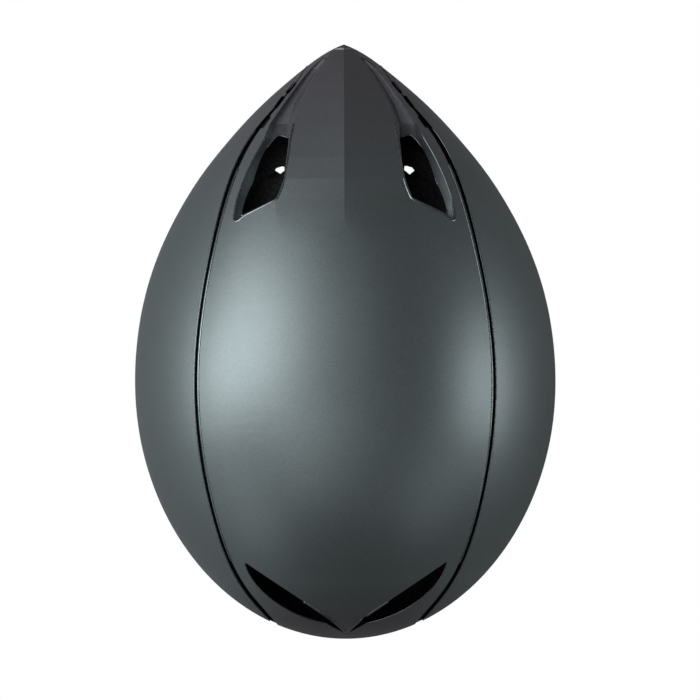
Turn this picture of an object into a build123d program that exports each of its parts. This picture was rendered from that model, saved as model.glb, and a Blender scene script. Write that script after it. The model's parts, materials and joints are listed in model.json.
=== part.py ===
from build123d import *
import math
import os

os.makedirs("parts", exist_ok=True)

# Time trial helmet as it is worn: brow at -Y, tail at +Y, crown up.
# The origin is the centre of the head opening, level with the side rims.

# Whole helmet
helmet_width = 212.0
front_reach = 128.0        # widest station to the brow
tail_reach = 171.0         # widest station to the tail tip
crown_height = 168.0       # side rim to the top
belt_height = 50.0         # side rim to the widest line
tail_height = 84.0         # side rim to the tail tip
keel_depth = 81.0          # how far the full egg would go below the rim
tip_radius = 3.5           # rounds the tail tip in plan
plan_front_share = 1.95
plan_rear_share = 2.19
plan_taper_share = 0.92
tip_fade_share = 4
belt_rise_share = 3
slope_step_share = 0.0001
back_line_share = 1.8
keel_line_share = 1.31
crown_fullness_share = 2.2
front_turn_degrees = (9, 18, 30, 44, 60, 76)
rear_station_shares = (0.13, 0.27, 0.41, 0.54, 0.66, 0.77, 0.86, 0.93, 0.975)
section_count = 16
tail_wall_share = 2.6

# Walls and clearances
shell_wall = 2.0
gap = 0.3                  # between neighbours that only touch
overrun = 20.0             # how far cutters pass what they cut
groove_width = 2.2
seam_width = 0.5
trim_thickness = 3.0

# Head opening
cavity_half_width = 82.0
cavity_front = 100.0
cavity_rear = 115.0
cavity_height = 138.0
cavity_shoulder = 40.0     # the walls are upright up to here
cavity_rear_share = 2.6
cavity_dome_share = 2.4
dome_turn_degrees = (0, 12, 26, 40, 54, 68, 80)
air_channel_depth = 8.0

# Rim line seen from the side
brow_rim_height = 38.0
nape_rim_height = 28.0
tail_rim_height = 36.0
rim_turn_shares = (-0.875, -0.312, 0.42, 0.655)
rim_bend_radius = 60.0

# Grooves between crown and sides, as shares of half width and of the reach
seam_shares = [(0.28, -1.02), (0.358, -0.922), (0.472, -0.805), (0.613, -0.531), (0.701, 0.041),
               (0.608, 0.442), (0.425, 0.737), (0.249, 0.871), (0.15, 0.965)]
seam_hairline_share = 0.74
slit_shares = [(0.372, 0.772), (0.306, 0.83), (0.25, 0.873)]
slit_length = 7.5
slit_width = 1.8

# Intake and exhaust vents, in the same shares
intake_top_shares = [(0.479, -0.689), (0.073, -0.916)]
intake_low_shares = [(0.101, -0.933), (0.24, -0.896), (0.363, -0.832), (0.44, -0.765)]
brow_seam_shares = [(0.073, -0.916), (0, -0.973), (0, -0.979), (0.101, -0.933)]
exhaust_inner_shares = [(0.262, 0.7245), (0.273, 0.639), (0.287, 0.592), (0.32, 0.545)]
exhaust_outer_shares = [(0.486, 0.495), (0.467, 0.545), (0.429, 0.6035), (0.391, 0.668), (0.357, 0.704),
                        (0.31, 0.736)]
through_shares = [(0.354, 0.608), (0.321, 0.637), (0.285, 0.644), (0.283, 0.63), (0.316, 0.612)]
tunnel_floor_shares = [(0.4, 0.66), (0.485, 0.631), (0.737, 0.512), (1.1, 0.4)]
tunnel_growth = 1.0
miter_limit_share = 0.5
outline_steps = 5

# Roof facets of the spine: station and facet edge
roof_shares = [(0.385, 0.34), (0.545, 0.315), (0.6035, 0.281), (0.668, 0.266), (0.7245, 0.253),
               (0.766, 0.2387), (0.8246, 0.2057), (0.883, 0.1585), (0.9275, 0.115), (0.959, 0.0755),
               (0.985, 0.045)]
ridge_sink = 0.6
ridge_fade = 2.0
facet_sink = 0.3
cutter_reach_share = 1.6

# Channels beside the spine: station, inner top and foot, outer foot and top, depth
channel_shares = [(0.48, 0.5, 0.503, 0.507, 0.523, 0.001), (0.495, 0.476, 0.481, 0.486, 0.523, 0.009),
                  (0.545, 0.315, 0.32, 0.467, 0.509, 0.024), (0.6035, 0.281, 0.286, 0.429, 0.476, 0.03),
                  (0.668, 0.266, 0.272, 0.391, 0.429, 0.033), (0.7245, 0.253, 0.266, 0.34, 0.377, 0.033),
                  (0.766, 0.2387, 0.27, 0.329, 0.351, 0.03), (0.8246, 0.2057, 0.236, 0.272, 0.286, 0.024),
                  (0.883, 0.1585, 0.179, 0.206, 0.217, 0.017), (0.9275, 0.115, 0.13, 0.151, 0.16, 0.01),
                  (0.959, 0.0755, 0.083, 0.096, 0.104, 0.004)]

# Underpanel of the tail
panel_line_shares = [(0.66, 0.0), (0.7, 0.22), (0.87, 0.39), (0.975, 0.474), (1.06, 0.5)]

# Webbing and its anchors
web_width = 15.0
web_thickness = 1.3
web_slot = 0.35
front_anchor_y = -48.0
rear_anchor_y = 56.0
anchor_height = 10.0
anchor_length = 20.0
anchor_thickness = 3.4
anchor_foot = 7.0
divider_x = 74.0
divider_y = -6.0
divider_drop = 36.0
divider_thickness = 5.2
divider_height = 24.0
divider_width = 26.0
divider_waist = 18.0
lever_length = 15.0
lever_width = 12.0
lever_thickness = 3.2
lever_pin_radius = 1.0
ear_width = 1.8
finger_hollow_radius = 2.3
finger_hollow_drop = 10.0
jaw_corner = Vector(52.0, -22.0, -70.0)
chin_corner = Vector(20.0, -42.0, -100.0)
chin_middle = Vector(0.0, -46.0, -106.0)
tail_length = 20.0
keeper_height = 5.0
keeper_wall = 1.4
keeper_share = 0.5

# Buckle, along the run from jaw to chin
buckle_width = 23.0
buckle_thickness = 8.6
socket_length = 25.0
plug_length = 13.0
plug_thickness = 7.0
buckle_wall = 1.6
prong_length = 17.0
prong_width = 3.0
prong_hook = 1.2
tongue_width = 7.0
strap_bite = 5.0

# Fit system
cradle_back = 98.0
cradle_radius = 100.0
cradle_wall = 2.5
cradle_half_width = 46.0
cradle_height = 44.0
cradle_corner = 15.0
window_width = 11.0
window_height = 24.0
window_place = 30.0
housing_half_width = 29.0
housing_wall = 1.8
pitch_radius = 5.0
tooth_module = 1.0
pinion_teeth = 10
pinion_tip = 0.9
pinion_root = 0.8
rack_tip = 0.55
rack_root = 1.1
rack_body = 2.5
rack_depth = 2.5
rack_outer_reach = 26.0
rack_inner_reach = 13.0
tooth_play = 0.16
pressure_degrees = 20.0
flank_steps = 3
cover_thickness = 2.0
knob_radius = 14.5
knob_depth = 7.0
knob_wall = 2.0
knob_grooves = 18
hub_radius = 4.4
running_gap = 0.08
dial_screw_radius = 1.5
dial_screw_head = 3.2
cover_screw_radius = 1.1
cover_screw_head = 2.0
cover_screw_place = 24.0
click_radius = 9.0
click_wall = 1.2
click_depth = 1.6
click_nub_radius = 0.8
band_height = 12.0
band_thickness = 1.5
band_inset = 2.4
wing_rise = 3.7
temple_y = -36.0
temple_z = 48.0
eye_radius = 8.0
temple_pin_radius = 3.0
temple_pin_head = 5.2
temple_pin_head_depth = 1.4
socket_radius = 9.0
socket_depth = 4.0
pad_thickness = 5.0
pad_height = 22.0
pad_end_share = 0.45
pad_corner_share = 0.45
pad_steps = 8
brow_chord_share = 0.73
brow_degrees = 270.0
nape_degrees = 90.0
brow_pad_lift = 8.0
brow_pad_gap = 0.8
brow_pad_degrees = 92.0
crown_pad_x = 15.0
crown_pad_width = 15.0
crown_pad_length = 104.0
side_pad_x = 58.0
side_pad_width = 14.0
side_pad_length = 70.0
side_pad_y = 6.0
cradle_pad_thickness = 3.0
cradle_pad_width = 28.0
cradle_pad_height = 34.0
band_shares = (0.2, 0.4, 0.6, 0.76, 0.89)
divider_centre = Vector(divider_x, divider_y, -divider_drop)


def plan_half(y):
    """Half width of the helmet at a station."""
    if y < 0:
        return helmet_width / 2 * max(0, 1 - (-y / front_reach) ** plan_front_share) ** 0.5
    share = min(1, y / tail_reach)
    flank = helmet_width / 2 * (1 - share ** plan_rear_share) ** plan_taper_share
    return math.sqrt(flank ** 2 + 2 * tip_radius * max(0, tail_reach - y) * share ** tip_fade_share)


def belt_z(y):
    """Height of the widest line."""
    if y < 0:
        return belt_height
    return belt_height + (tail_height - belt_height) * min(1, y / tail_reach) ** belt_rise_share


def back_z(y):
    """Height of the outline seen from the side, along the top."""
    if y < 0:
        return belt_height + (crown_height - belt_height) * max(0, 1 - (y / front_reach) ** 2) ** 0.5
    return tail_height + (crown_height - tail_height) * (1 - min(1, y / tail_reach) ** back_line_share)


def keel_z(y):
    """Height of the outline seen from the side, along the bottom of the full egg."""
    if y < 0:
        return belt_height - (belt_height + keel_depth) * max(0, 1 - (y / front_reach) ** 2) ** 0.5
    return tail_height - (tail_height + keel_depth) * (1 - min(1, y / tail_reach) ** 2) ** keel_line_share


def lean(line, y):
    """Length along a line for each unit of Y, from its slope at a station."""
    step = tail_reach * slope_step_share
    place = max(y, 2 * step)
    return math.hypot(1, (line(place + step) - line(place - step)) / (2 * step))


def section_sizes(y, inset):
    """Half width, top and bottom of the egg at a station, moved in by a wall."""
    if y < 0:
        share = -y / (front_reach - inset)
        fall = max(0, 1 - share ** 2) ** 0.5
        half = (helmet_width / 2 - inset) * max(0, 1 - share ** plan_front_share) ** 0.5
        high = belt_height + (crown_height - belt_height - inset) * fall
        low = belt_height - (belt_height + keel_depth - inset) * fall
        return half, high, low
    half = plan_half(y) - inset * lean(plan_half, y)
    high = back_z(y) - inset * lean(back_z, y)
    low = keel_z(y) + inset * lean(keel_z, y)
    return half, high, low


def egg_section(y, inset):
    """Closed outline of the egg at a station: full above the belt, elliptical below."""
    half, high, low = section_sizes(y, inset)
    middle = belt_z(y)
    points = []
    for index in range(section_count):
        turn = 2 * math.pi * index / section_count - math.pi / 2
        across = math.cos(turn)
        rise = math.sin(turn)
        power = 2 / crown_fullness_share if rise > 0 else 1
        reach = high - middle if rise > 0 else middle - low
        x = half * math.copysign(abs(across) ** power, across)
        z = middle + reach * math.copysign(abs(rise) ** power, rise)
        points.append(Vector(x, y, z))
    return Wire([Edge.make_spline(points, periodic=True)])


def egg(inset):
    """The helmet's smooth closed form, moved in by a wall."""
    front = front_reach - inset
    rear = tail_reach - tail_wall_share * inset
    stations = [-front * math.cos(math.radians(turn)) for turn in front_turn_degrees]
    stations += [0] + [rear * share for share in rear_station_shares]
    sections = [Vertex(0, -front, belt_height)]
    sections += [egg_section(y, inset) for y in stations]
    sections += [Vertex(0, rear, belt_z(rear))]
    return Solid.make_loft(sections)


def hull_z(x, y):
    """Height of the egg's top surface at a place in plan."""
    half, high, _ = section_sizes(y, 0)
    middle = belt_z(y)
    fall = 1 - min(1, abs(x) / half) ** crown_fullness_share
    return middle + (high - middle) * fall ** (1 / crown_fullness_share)


def roof_cutter(inset):
    """Everything above the two facets of the spine."""
    sections = []
    for station, edge in roof_shares:
        y = station * tail_reach
        edge_x = edge * helmet_width / 2
        lift = ridge_sink + ridge_fade if station == roof_shares[0][0] else 0
        ridge = back_z(y) - inset - ridge_sink + lift
        edge_z = hull_z(edge_x, y) - inset - facet_sink + lift
        reach = cutter_reach_share
        far = [(edge_x * reach, ridge + (edge_z - ridge) * reach), (edge_x * reach, crown_height + overrun)]
        profile = [(-x, z) for x, z in reversed(far)] + [(0, ridge)] + far
        sections.append((y, profile))
    sections.append((tail_reach + overrun, sections[-1][1]))
    wires = [Wire.make_polygon([Vector(x, y, z) for x, z in profile], close=True) for y, profile in sections]
    return Solid.make_loft(wires, ruled=True)


def channel_cutter(inset):
    """Left channel between the spine and the hull, with its bevelled outer wall, grown by a wall."""
    wires = []
    for station, inner_top, inner_foot, outer_foot, outer_top, depth in channel_shares:
        y = station * tail_reach
        tops = [share * helmet_width / 2 for share in (inner_top, outer_top)]
        feet = [share * helmet_width / 2 for share in (inner_foot, outer_foot)]
        floor = hull_z(tops[1], y) - depth * crown_height
        walls = []
        for top, foot, side in zip(tops, feet, (-1, 1)):
            rise = (hull_z(top, y) - floor) * cutter_reach_share
            x = foot + (top - foot) * cutter_reach_share + side * inset
            walls.append([(foot + side * inset, floor - inset), (x, floor - inset + rise),
                          (x, crown_height + overrun)])
        profile = walls[0][::-1] + walls[1]
        wires.append(Wire.make_polygon([Vector(x, y, z) for x, z in profile], close=True))
    return Solid.make_loft(wires, ruled=True)


def body_form(inset):
    """The egg with its spine facets and channels, moved in by a wall."""
    form = egg(inset) - roof_cutter(inset)
    for cutter in both_sides(channel_cutter(inset)):
        form -= cutter
    return form


def plan_point(shares):
    """Point in plan from its shares of the half width and of the reach."""
    across, along = shares
    reach = tail_reach if along > 0 else front_reach
    return Vector(across * helmet_width / 2, along * reach, 0)


def plan_prism(face, low, high):
    """Upright prism on a plan outline."""
    return extrude(Pos(0, 0, low) * face, high - low)


def seam_line(side):
    """Points of the left groove's edge: side -1 is the crown's edge, +1 the side shell's."""
    points = [plan_point(shares) for shares in seam_shares]
    edge = []
    for index, point in enumerate(points):
        before = points[max(0, index - 1)]
        after = points[min(len(points) - 1, index + 1)]
        along = (after - before).normalized()
        outward = Vector(along.Y, -along.X, 0)
        wide = seam_width if seam_shares[index][1] > seam_hairline_share else groove_width
        edge.append(point + outward * (side * wide / 2))
    return edge


def crown_region(side):
    """Plan of the crown between the grooves, as an upright prism."""
    left = seam_line(side)
    right = [Vector(-point.X, point.Y, 0) for point in reversed(left)]
    rear = [Vector(left[-1].X, tail_reach + overrun, 0), Vector(right[0].X, tail_reach + overrun, 0)]
    front = [Vector(right[-1].X, right[-1].Y - overrun, 0), Vector(left[0].X, left[0].Y - overrun, 0)]
    pairs = ((left[-1], rear[0]), (rear[0], rear[1]), (rear[1], right[0]),
             (right[-1], front[0]), (front[0], front[1]), (front[1], left[0]))
    ends = [Edge.make_line(a, b) for a, b in pairs]
    outline = [Edge.make_spline(left), Edge.make_spline(right)] + ends
    return plan_prism(Face(Wire(outline)), -overrun, crown_height + overrun)


def sampled(edge):
    """Points along an edge, without its last."""
    return [edge.position_at(step / outline_steps) for step in range(outline_steps)]


def grown(points, growth):
    """Closed outline through points that run left-about, pushed out all round."""
    moved = []
    for index, point in enumerate(points):
        before = (point - points[index - 1]).normalized()
        after = (points[(index + 1) % len(points)] - point).normalized()
        outward = Vector(before.Y, -before.X, 0)
        middle = (outward + Vector(after.Y, -after.X, 0)).normalized()
        moved.append(point + middle * (growth / max(middle.dot(outward), miter_limit_share)))
    return Face(Wire.make_polygon(moved, close=True))


def intake_edges():
    """Plan outline of the left intake vent, left-about."""
    top = [plan_point(shares) for shares in intake_top_shares]
    low = [plan_point(shares) for shares in intake_low_shares]
    return [Edge.make_line(top[0], top[1]), Edge.make_line(top[1], low[0]),
            Edge.make_spline(low + [top[0]])]


def exhaust_edges():
    """Plan outline of the left exhaust vent, left-about."""
    inner = [plan_point(shares) for shares in exhaust_inner_shares]
    outer = [plan_point(shares) for shares in exhaust_outer_shares]
    return [Edge.make_spline(inner), Edge.make_line(inner[-1], outer[0]),
            Edge.make_spline(outer), Edge.make_line(outer[-1], inner[0])]


def vent_face(edges):
    """Face inside a vent's outline."""
    return Face(Wire(edges))


def tunnel_face(edges):
    """The vent's outline grown a little, for the way through the foam behind it."""
    points = []
    for edge in edges:
        points = points + sampled(edge)
    return grown(points, tunnel_growth)


def slit_cutters():
    """Short slits that carry the grooves on towards the tail tip."""
    places = [plan_point(shares) for shares in slit_shares]
    cutters = []
    for index, place in enumerate(places):
        ahead = places[min(index + 1, len(places) - 1)]
        behind = places[max(index - 1, 0)]
        turn = math.degrees(math.atan2(ahead.Y - behind.Y, ahead.X - behind.X))
        slit = Location(place, (0, 0, turn)) * SlotOverall(slit_length, slit_width)
        cutters.append(plan_prism(slit.face(), tail_height, crown_height))
    return cutters


def rim_region(raise_by):
    """Everything below the rim line, seen from the side and raised by a height."""
    front, bend_front, bend_rear, rear = rim_turn_shares
    points = [(-front_reach - overrun, brow_rim_height), (front * front_reach, brow_rim_height),
              (bend_front * front_reach, 0), (bend_rear * tail_reach, 0),
              (rear * tail_reach, nape_rim_height), (tail_reach + overrun, tail_rim_height)]
    corners = [Vector(0, y, z + raise_by) for y, z in points]
    line = FilletPolyline(*corners, radius=rim_bend_radius)
    bottom = -keel_depth - overrun
    start = corners[0]
    end = corners[-1]
    closing = Polyline(end, Vector(0, end.Y, bottom), Vector(0, start.Y, bottom), start)
    face = Face(Wire(line.edges() + closing.edges()))
    return Solid.extrude(Pos(-helmet_width, 0, 0) * face, Vector(2 * helmet_width, 0, 0))


def cavity_section(z, grow, share):
    """Plan outline of the head opening, drawn in by a share."""
    points = []
    for index in range(section_count):
        turn = 2 * math.pi * index / section_count - math.pi / 2
        across = math.cos(turn)
        along = math.sin(turn)
        power = 2 / cavity_rear_share if along > 0 else 1
        reach = cavity_rear if along > 0 else cavity_front
        x = (cavity_half_width + grow) * share * math.copysign(abs(across) ** power, across)
        y = (reach + grow) * share * math.copysign(abs(along) ** power, along)
        points.append(Vector(x, y, z))
    return Wire([Edge.make_spline(points, periodic=True)])


def cavity(grow=0):
    """The space inside the foam: upright walls, then a dome."""
    foot = -keel_depth
    walls = Solid.extrude(Face(cavity_section(foot, grow, 1)), Vector(0, 0, cavity_shoulder - foot))
    rise = cavity_height + grow - cavity_shoulder
    power = 2 / cavity_dome_share
    sections = []
    for turn in dome_turn_degrees:
        share = math.cos(math.radians(turn)) ** power
        lift = math.sin(math.radians(turn)) ** power
        sections.append(cavity_section(cavity_shoulder + rise * lift, grow, share))
    sections.append(Vertex(0, 0, cavity_shoulder + rise))
    return walls + Solid.make_loft(sections)


def both_sides(shape):
    """A shape and its mirror image."""
    return [shape, mirror(shape, about=Plane.YZ)]


def vent_cutters():
    """Upright ways through the shell at all four vents, and the seam that joins the two at the brow."""
    seam = Face(Wire.make_polygon([plan_point(shares) for shares in brow_seam_shares], close=True))
    faces = [vent_face(exhaust_edges()), vent_face(intake_edges()), seam]
    return [piece for face in faces
            for piece in both_sides(plan_prism(face, belt_height, crown_height + overrun))]


def side_slab(points, foot_z):
    """Slab through the whole width, below a line in the side view."""
    corners = [Vector(0, points[0].Y, foot_z)] + points + [Vector(0, points[-1].Y, foot_z)]
    face = Face(Wire.make_polygon(corners, close=True))
    return Solid.extrude(Pos(-helmet_width, 0, 0) * face, Vector(2 * helmet_width, 0, 0))


def tunnel_cutters():
    """Ways through the foam: sloping pockets with a small way on at the rear, air channels at the brow."""
    line = [Vector(0, along * tail_reach, up * crown_height) for along, up in tunnel_floor_shares]
    pocket = plan_prism(tunnel_face(exhaust_edges()), belt_height, crown_height + overrun)
    pocket = pocket - side_slab(line, -keel_depth)
    way_on = Face(Wire.make_polygon([plan_point(shares) for shares in through_shares], close=True))
    way_on = plan_prism(way_on, -keel_depth, crown_height + overrun)
    intake = plan_prism(tunnel_face(intake_edges()), belt_height + air_channel_depth, crown_height + overrun)
    return [piece for shape in (pocket, way_on, intake) for piece in both_sides(shape)]


def underpanel_region(clearance):
    """Side profile of the tail's lower panel, as a slab left through."""
    points = [Vector(0, along * tail_reach, up * crown_height + clearance)
              for along, up in panel_line_shares]
    points[0] = points[0] + Vector(0, -clearance, 0)
    return side_slab(points, points[0].Z - keel_depth)


def cavity_half(y):
    """Half width of the head opening at a station."""
    if y < 0:
        return cavity_half_width * (1 - (y / cavity_front) ** 2) ** 0.5
    return cavity_half_width * (1 - (y / cavity_rear) ** cavity_rear_share) ** (1 / cavity_rear_share)


def wall_middle(y):
    """Middle of the foam wall at the rim, at a station."""
    half, _, low = section_sizes(y, shell_wall + gap)
    fall = belt_z(y) / (belt_z(y) - low)
    return (cavity_half(y) + half * (1 - fall ** 2) ** 0.5) / 2


def ribbon(points, width, thickness, across=Vector(0, 1, 0)):
    """Flat webbing through points, its width kept as near as it can be to one direction."""
    sections = []
    for index, point in enumerate(points):
        before = points[max(0, index - 1)]
        after = points[min(len(points) - 1, index + 1)]
        along = (after - before).normalized()
        wide = (across - along * across.dot(along)).normalized()
        plane = Plane(origin=point, x_dir=wide, z_dir=along)
        corners = [plane.from_local_coords(Vector(a * width / 2, b * thickness / 2, 0))
                   for a, b in ((-1, -1), (1, -1), (1, 1), (-1, 1))]
        sections.append(Wire.make_polygon(corners, close=True))
    return Solid.make_loft(sections, ruled=True)


def between(a, b, share):
    """Point on the line from a to b."""
    return a + (b - a) * share


def lengthened(a, b, extra):
    """Point b moved on along the line from a."""
    return b + (b - a).normalized() * extra


def front_route():
    """Left front strap, from its anchor to the divider."""
    start = Vector(wall_middle(front_anchor_y), front_anchor_y, trim_thickness + gap + anchor_foot)
    end = divider_centre + Vector(0, -divider_width / 4, divider_height / 2 - strap_bite)
    return [start, end]


def rear_route():
    """Left rear strap, from its anchor to the divider."""
    start = Vector(wall_middle(rear_anchor_y), rear_anchor_y, trim_thickness + gap + anchor_foot)
    end = divider_centre + Vector(0, divider_width / 4, divider_height / 2 - strap_bite)
    return [start, end]


def buckle_frame():
    """Plane at the socket's upper end: X across the strap, Z down along it."""
    along = (chin_corner - jaw_corner).normalized()
    across = Vector(0, 1, 0)
    wide = (across - along * across.dot(along)).normalized()
    return Plane(origin=jaw_corner, x_dir=wide, z_dir=along)


def on_buckle(shape, start):
    """Places a piece on the buckle's line, a distance from the socket's upper end."""
    frame = buckle_frame()
    return Location(frame.offset(start)) * shape


def foam_pockets():
    """What is cut out of the foam for the strap anchors, the straps and the temple sockets."""
    cuts = []
    for y, route in ((front_anchor_y, front_route()), (rear_anchor_y, rear_route())):
        size = (anchor_thickness + 2 * gap, anchor_length + 2 * gap, anchor_height + 2 * gap)
        cuts.append(Pos(route[0]) * Box(*size))
        cuts.append(ribbon(route, web_width + 4 * gap, web_thickness + 4 * gap))
    eye_face = temple_face() + band_thickness / 2 + gap
    cuts.append(temple_bar(eye_radius + pad_thickness / 2, cavity_half_width / 2, eye_face))
    cuts.append(temple_bar(socket_radius + gap, eye_face, eye_face + socket_depth + 2 * gap))
    return [piece for cut in cuts for piece in both_sides(cut)]


def temple_face():
    """How far out the middle of the bands' front eyes lies."""
    return cavity_half(temple_y) - gap


def cut_all(shape, cutters):
    """A solid less all of the cutters at once."""
    return shape.solids()[0].cut(*[solid for cutter in cutters for solid in cutter.solids()])


def make_shells():
    """Crown, side shells, underpanel, rim trim and foam."""
    outer = body_form(0)
    inner = body_form(shell_wall)
    core = body_form(shell_wall + gap)
    below = rim_region(trim_thickness + gap)
    skin = outer - below - inner
    hollow = cavity()
    panel = skin & underpanel_region(-gap)
    upper = skin - underpanel_region(0)
    crown = upper & crown_region(-1)
    sides = upper - crown_region(1)
    slits = slit_cutters()
    mirrored_slits = [mirror(slit, about=Plane.YZ) for slit in slits]
    for cutter in vent_cutters() + slits + mirrored_slits:
        crown -= cutter
    side = max(sides.solids(), key=lambda solid: solid.center().X)
    side = cut_all(side, slits)
    trim = (outer & rim_region(trim_thickness)) - rim_region(0) - hollow
    liner = core - below - hollow
    pockets = foam_pockets()
    for cutter in tunnel_cutters() + air_channels() + pockets:
        liner -= cutter
    trim = cut_all(trim, [pocket for pocket in pockets if pocket.bounding_box().min.Z < anchor_height])
    right = mirror(side, about=Plane.YZ)
    return {"crown_shell": crown, "side_shell_left": side, "side_shell_right": right,
            "tail_underpanel": panel, "rim_trim": trim, "foam_liner": liner}


def air_channels():
    """Channels along the dome that lead air from the brow vents to the rear ones."""
    wide = cavity(air_channel_depth)
    middle = plan_point(intake_low_shares[2]).X
    length = cavity_front + cavity_rear
    strip = Box(web_width, length, crown_height)
    strip = Pos(middle, (cavity_rear - cavity_front) / 2, belt_height + crown_height / 2) * strip
    return both_sides(wide & strip)


def make_straps():
    """Webbing, from the anchors to the buckle."""
    nodes = {}
    neck = divider_centre - Vector(0, 0, divider_height / 2 - strap_bite)
    plug_end = between(jaw_corner, chin_corner, 1)
    frame = buckle_frame()
    plug_start = jaw_corner + frame.z_dir * (socket_length + gap + plug_length - strap_bite)
    right_side = [Vector(-p.X, p.Y, p.Z) for p in (chin_corner, jaw_corner, neck)]
    long_run = [plug_start, plug_end, chin_middle] + right_side
    into_socket = jaw_corner + frame.z_dir * strap_bite
    straight = tail_root()
    short = ribbon([neck, straight, jaw_corner, into_socket], web_width, web_thickness)
    along = (straight - neck).normalized()
    lift = outward_of(along) * (web_thickness + gap / 2)
    fold = ribbon([straight - along * web_thickness, straight], web_width, 2 * web_thickness + gap / 2)
    fold = Pos(lift / 2) * fold
    folded = ribbon([straight + lift, straight + lift - along * tail_length], web_width, web_thickness)
    nodes["chin_strap_left"] = short + fold + folded
    nodes["chin_strap_right"] = ribbon(long_run, web_width, web_thickness)
    for name, route in (("front_strap", front_route()), ("rear_strap", rear_route())):
        strap = ribbon(route, web_width, web_thickness)
        nodes[name + "_left"] = strap
        nodes[name + "_right"] = mirror(strap, about=Plane.YZ)
    return nodes


def tail_root():
    """Where the short strap folds back on itself, just above the jaw corner."""
    neck = divider_centre - Vector(0, 0, divider_height / 2 - strap_bite)
    return jaw_corner + (neck - jaw_corner).normalized() * web_width / 2


def outward_of(along):
    """Direction square to a strap and away from the head."""
    across = Vector(0, 1, 0)
    wide = (across - along * across.dot(along)).normalized()
    return wide.cross(along) * -1


def anchor(route):
    """Plastic slug in the foam that the end of a strap is sewn round."""
    block = Pos(route[0]) * Box(anchor_thickness, anchor_length, anchor_height)
    block = fillet(block.edges().filter_by(Axis.X), anchor_height / 4)
    return block - ribbon(route, web_width + 2 * web_slot, web_thickness + 2 * web_slot)


def divider_body():
    """Left strap divider: an upright plate with pockets for the three straps."""
    half_top = divider_width / 2
    half_low = divider_waist / 2
    half_tall = divider_height / 2
    outline = Polyline((-half_low, -half_tall), (half_low, -half_tall), (half_top, half_tall),
                       (-half_top, half_tall), close=True)
    plane = Plane(origin=divider_centre, x_dir=(0, 1, 0), z_dir=(1, 0, 0))
    plate = extrude(plane * make_face(outline), divider_thickness / 2, both=True)
    plate = fillet(plate.edges().filter_by(Axis.X), divider_width / 8)
    neck = divider_centre - Vector(0, 0, half_tall - strap_bite)
    for route in (front_route(), rear_route(), [jaw_corner, neck]):
        deep = lengthened(route[0], route[1], web_slot)
        plate -= ribbon([route[0], deep], web_width + 2 * web_slot, web_thickness + 2 * web_slot)
    return plate


def lever_axis():
    """Middle of the lever's pin."""
    out = divider_thickness / 2 + gap + lever_thickness / 2
    return divider_centre + Vector(out, 0, lever_length / 2 - lever_pin_radius)


def divider_parts():
    """Divider with its ears, the cam lever and the pin."""
    plate = divider_body()
    axis = lever_axis()
    ear_size = 2 * lever_pin_radius + lever_thickness / 2
    for side in (-1, 1):
        y = axis.Y + side * (lever_width / 2 + gap + ear_width / 2)
        ear = Pos(axis.X - lever_thickness / 2, y, axis.Z) * Box(lever_thickness, ear_width, ear_size)
        plate += ear + Pos(axis.X, y, axis.Z) * Rotation(90, 0, 0) * Cylinder(ear_size / 2, ear_width)
    bore = Pos(axis) * Rotation(90, 0, 0) * Cylinder(lever_pin_radius + running_gap, 2 * lever_width)
    plate -= bore
    plate = max(plate.solids(), key=lambda solid: solid.volume)
    length = lever_length - 2 * lever_pin_radius
    turn = Rotation(90, 0, 0)
    lever = Pos(axis.X, axis.Y, axis.Z - length / 2) * Box(lever_thickness, lever_width, length)
    lever = fillet(lever.edges().filter_by(Axis.X).group_by(Axis.Z)[0], lever_thickness)
    lever += Pos(axis) * turn * Cylinder(lever_thickness / 2, lever_width)
    lever -= bore
    finger = Pos(axis.X + lever_thickness, axis.Y, axis.Z - finger_hollow_drop) * Rotation(90, 0, 0)
    lever -= finger * Cylinder(finger_hollow_radius, 2 * lever_width)
    pin = Pos(axis) * Rotation(90, 0, 0) * Cylinder(lever_pin_radius, lever_width + 2 * ear_width + 2 * gap)
    return plate, lever, pin


def buckle_parts():
    """Side-release buckle: hollow socket, plug with its tongue, and two hooked prongs."""
    hollow_width = buckle_width - 2 * buckle_wall
    hollow_thick = buckle_thickness - 2 * buckle_wall
    socket = Pos(0, 0, socket_length / 2) * Box(buckle_width, buckle_thickness, socket_length)
    socket = fillet(socket.edges().filter_by(Axis.Z), buckle_thickness / 3)
    mouth = prong_length + 2 * buckle_wall
    socket -= Pos(0, 0, socket_length - mouth / 2) * Box(hollow_width, hollow_thick, mouth)
    window = prong_length / 2
    window_z = socket_length - prong_length + window / 2
    for side in (-1, 1):
        socket -= Pos(side * buckle_width / 2, 0, window_z) * Box(4 * buckle_wall, hollow_thick, window)
    slot = Box(web_width + 2 * web_slot, web_thickness + 2 * web_slot, 2 * (strap_bite + web_slot))
    socket -= slot
    start = socket_length + gap
    plug = Pos(0, 0, start + plug_length / 2) * Box(buckle_width, plug_thickness, plug_length)
    plug = fillet(plug.edges().filter_by(Axis.Z), plug_thickness / 3)
    tongue = prong_length
    plug += Pos(0, 0, start - tongue / 2) * Box(tongue_width, hollow_thick - 4 * gap, tongue)
    plug -= Pos(0, 0, start + plug_length) * slot
    prongs = []
    for side in (-1, 1):
        x = side * (hollow_width / 2 - gap - prong_width / 2)
        thick = hollow_thick - 4 * gap
        prong = Pos(x, 0, start - gap - prong_length / 2) * Box(prong_width, thick, prong_length)
        hook_x = side * (hollow_width / 2 - gap)
        hook_z = start - prong_length + window / 2
        prong += Pos(hook_x, 0, hook_z) * Box(2 * prong_hook, thick, window - 4 * gap)
        prongs.append(prong)
    return socket, plug, prongs


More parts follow.
